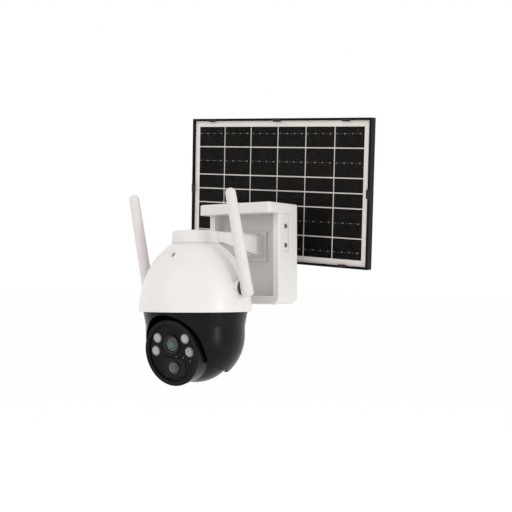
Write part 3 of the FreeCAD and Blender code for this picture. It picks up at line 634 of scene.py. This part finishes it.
@dataclass
class BallFace:
    """Lens, lights, motion sensor and small dots on the tilting ball's face.

    Attributes:
        tilt: degrees that the face looks down at rest.
        drop: lens barrel's axis below the tilt axis.
        face: distance of the face's front from the ball centre.
        lights: middle of each light, across and up.
        lens_up: lens above the face's middle.
        sensor_down: motion sensor below the face's middle.
        dots: small holes, across and up.
    """

    tilt: float = 9.5
    drop: float = 5.4
    face: float = 42.3
    lights: tuple[tuple[float, float], ...] = ((-19.4, 16.2), (19.4, 16.2), (-23.6, 1.6), (23.6, 1.6))
    lens_up: float = 9.2
    sensor_down: float = 16.8
    dots: tuple[tuple[float, float], ...] = ((4.5, -4.2), (14.2, -5.2), (23.5, -8.6))

    def place(self, across: float, up: float, out: float = 0.0) -> Matrix:
        """Local frame with +Z out of the face at a point on it.

        Args:
            across: to the right, in millimetres.
            up: in millimetres.
            out: in front of the face, in millimetres.

        Returns:
            The frame in the row frame.
        """
        shift = Matrix.Translation((across * MM, -(self.face + out) * MM, (up - self.drop) * MM))
        return (Matrix.Translation(pivot("tilt")) @ Matrix.Rotation(math.radians(self.tilt), 4, "X") @ shift
                @ Matrix.Rotation(math.radians(90), 4, "X"))

    def build(self, shop: Workshop) -> None:
        """Build every piece of the face.

        Args:
            shop: where the pieces are made.
        """
        self.build_lights(shop)
        self.build_lens(shop)
        self.build_sensor(shop)
        hole = [(0, 0.02), (0.75, 0.02), (0.8, -0.3), (0, -0.3)]
        dots = [turned(hole, self.place(x, z), 16) for x, z in self.dots]
        shop.piece("face_dots", gather(dots), "tilt_ball", Finishes.LED_RIM)

    def build_lights(self, shop: Workshop) -> None:
        """Moulded lens, rim and bright beads of each light.

        Args:
            shop: where the pieces are made.
        """
        rims, lenses, cores = [], [], []
        for x, z in self.lights:
            place = self.place(x, z)
            rim = [(5.0, -1.0), (5.0, 0.25), (5.3, 0.5), (5.7, 0.25), (5.8, -1.0), (5.0, -1.0)]
            rims.append(turned(rim, place, 48))
            dome = [(0, -1.5), (4.95, -1.5), (4.95, 0.1)] + arc((0, 0.1), (4.95, 1.6), 8, 90, 10)
            lenses.append(turned(dome, place, 48))
            for out, count in ((0.0, 1), (2.9, 6)):
                for step in range(count):
                    turn = Matrix.Rotation(math.radians(25 + 360 * step / count), 4, "Z")
                    facet = place @ turn @ Matrix.Translation((out * MM, 0, -0.09 * out * MM))
                    bead = [(0, 0.9), (1.05, 0.9), (1.05, 1.35)] + arc((0, 1.35), (1.05, 0.5), 12, 90, 5)
                    cores.append(turned(bead, facet, 16))
        shop.piece("light_rims", gather(rims), "tilt_ball", Finishes.LED_RIM)
        shop.piece("light_domes", gather(lenses), "tilt_ball", Finishes.LED, ["light_lenses"])
        shop.piece("light_cores", gather(cores), "tilt_ball", Finishes.LED_CORE)

    def build_lens(self, shop: Workshop) -> None:
        """Stepped lens ring, its bright edge, the coated front glass and the iris behind it.

        Args:
            shop: where the pieces are made.
        """
        place = self.place(0, self.lens_up)
        ring = [(8.4, -3.0), (8.4, 0.2), (8.9, 0.9), (10.3, 1.35), (11.0, 1.3), (11.35, 0.9), (11.4, 0.1),
                (10.4, 0.05), (10.4, -3.0), (8.4, -3.0)]
        shop.piece("lens_surround", turned(ring, place, 72), "tilt_ball", Finishes.BEZEL,
                   ["lens_ring"])
        edge = [(8.75, 0.75), (8.95, 1.1), (9.3, 1.15), (9.3, 0.75), (8.75, 0.75)]
        shop.piece("lens_edge_ring", turned(edge, place, 72), "tilt_ball", Finishes.LENS_EDGE)
        glass = [(0, -1.2), (8.35, -1.2), (8.35, -0.6)] + arc((0, -0.6), (8.35, 2.0), 6, 90, 14)
        shop.piece("lens_front", turned(glass, place, 72), "tilt_ball", Finishes.LENS, ["lens_glass"])
        iris = [(0, 0.9), (4.4, 0.9)] + arc((0, 0.9), (4.4, 0.58), 10, 90, 8)
        shop.piece("lens_iris", turned(iris, place, 48), "tilt_ball", Finishes.LENS_CORE)

    def build_sensor(self, shop: Workshop) -> None:
        """Recessed window of the motion sensor with its faceted bulge, and a lighter cap on the bulge's middle that
        is a painted highlight.

        Args:
            shop: where the pieces are made.
        """
        wide, high = 16.4, 11.4
        place = self.place(0, -self.sensor_down)
        window = bmesh.new()
        bmesh.ops.create_cube(window, size=1)
        bmesh.ops.scale(window, vec=(2 * wide * MM, 2 * high * MM, 3 * MM), verts=window.verts)
        upright = [edge for edge in window.edges if abs((edge.verts[0].co - edge.verts[1].co).z) > 1e-6]
        bmesh.ops.bevel(window, geom=upright, offset=7.6 * MM, segments=10, profile=0.5, affect="EDGES",
                        material=-1)
        top = [face for face in window.faces if face.normal.z > 0.9]
        bmesh.ops.inset_region(window, faces=top, thickness=1.1 * MM, use_even_offset=True)
        bmesh.ops.translate(window, vec=(0, 0, -0.9 * MM), verts=list({v for face in top for v in face.verts}))
        bmesh.ops.transform(window, matrix=place @ Matrix.Translation((0, 0, -1.2 * MM)), verts=window.verts)
        shop.piece("sensor_window", window, "tilt_ball", Finishes.BEZEL, ["motion_sensor_lens"], 30)
        bulge = [(0, -1.4), (7.6, -1.4), (7.6, -0.6)] + arc((0, -0.6), (7.6, 4.6), 6, 90, 14)
        shop.piece("sensor_bulge", turned(bulge, place, 64), "tilt_ball", Finishes.SENSOR_SKIN)
        # Painted highlight: the lighter cap on the bulge's middle stands in for the soft glint of light on the
        # sensor dome.
        highlight_cap = [(0, 2.6), (4.35, 2.6)] + arc((0, -0.6), (7.66, 4.66), 55, 90, 8)
        shop.piece("sensor_cap", turned(highlight_cap, place, 48), "tilt_ball", Finishes.SENSOR)


@dataclass
class DomeWindow:
    """Small frosted oval in the front of the dome.

    Attributes:
        radius: dome radius at the rim.
        height: dome's elliptical height.
        up: window above the rim.
        aside: degrees round from the front.
    """

    radius: float = 64.0
    height: float = 84.5
    up: float = 63.0
    aside: float = 3.0

    def build(self, shop: Workshop) -> None:
        """Set the oval in the dome's skin, square to it.

        Args:
            shop: where the pieces are made.
        """
        axis = pivot("pan")
        out = self.radius * math.sqrt(1 - (self.up / self.height) ** 2)
        slope = math.atan2(self.radius ** 2 * self.up, self.height ** 2 * out)
        rim = corners("dome_shell")[0].z
        place = (Matrix.Translation((axis.x, axis.y, rim + self.up * MM))
                 @ Matrix.Rotation(math.radians(self.aside), 4, "Z")
                 @ Matrix.Translation((0, -out * MM, 0)) @ Matrix.Rotation(math.radians(90) - slope, 4, "X")
                 @ Matrix.Diagonal((0.85, 1.35, 1.0, 1.0)))
        lip = [(2.3, -0.6), (2.3, 0.12), (2.6, 0.3), (2.9, 0.12), (3.0, -0.6), (2.3, -0.6)]
        shop.piece("window_lip", turned(lip, place, 40), "mount", Finishes.WHITE)
        pane = [(0, 0.02), (2.32, 0.02), (2.32, -0.6), (0, -0.6)]
        shop.piece("window_pane", turned(pane, place, 40), "mount", Finishes.PANE,
                   ["light_sensor_window"])


@dataclass
class SideScrews:
    """Cross-head screws in the bracket's side slots.

    Attributes:
        radius: of a screw's head.
    """

    radius: float = 3.0

    def build(self, shop: Workshop) -> None:
        """Domed heads with a dark cross of painted shade standing in for the shaded cross recess, two each side.

        Args:
            shop: where the pieces are made.
        """
        low, high = corners("bracket_side_screws")
        levels = (low.z + self.radius * MM, high.z - self.radius * MM)
        heads, cross_shades = [], []
        for side, face in ((-1, low.x), (1, high.x)):
            for level in levels:
                place = (Matrix.Translation((face, (low.y + high.y) / 2, level))
                         @ Matrix.Rotation(math.radians(90 * side), 4, "Y"))
                head = [(0, -1.1), (3.0, -1.1), (3.0, -0.7)] + arc((0, -0.7), (3.0, 0.68), 6, 90, 8)
                heads.append(turned(head, place, 32))
                # Painted shade: flat dark crosses set in the domed heads stand in for the shade inside the cross
                # recess; no recess is cut.
                cross_shades.append(block((-1.9, -0.35, -0.5), (1.9, 0.35, -0.02), place, 0.05))
                cross_shades.append(block((-0.35, -1.9, -0.5), (0.35, 1.9, -0.02), place, 0.05))
        shop.piece("side_screw_heads", gather(heads), "mount", Finishes.STEEL, ["bracket_side_screws"])
        shop.piece("side_screw_crosses", gather(cross_shades), "mount", Finishes.SLOT)


def dress_nodes() -> None:
    """Give every CAD node that stays in view its finish."""
    for name, shown in frame["nodes"].items():
        shown.data.materials.clear()
        shown.data.materials.append(NODE_FINISHES[name].material())


def main() -> None:
    """Build the whole scene in order."""
    logging.basicConfig(level=logging.INFO, format="%(name)s %(message)s")
    shop = Workshop()
    Camera().build()
    Studio().build()
    dress_nodes()
    Dome().build(shop)
    for side, lean in ((Side.LEFT, 16.8), (Side.RIGHT, 12.6)):
        Antenna(side, lean).build(shop)
    BallFace().build(shop)
    DomeWindow().build(shop)
    SideScrews().build(shop)
    SolarCells().build(shop)
    log.info("%d pieces made", len(shop.made))


if __name__ == "__main__":
    main()
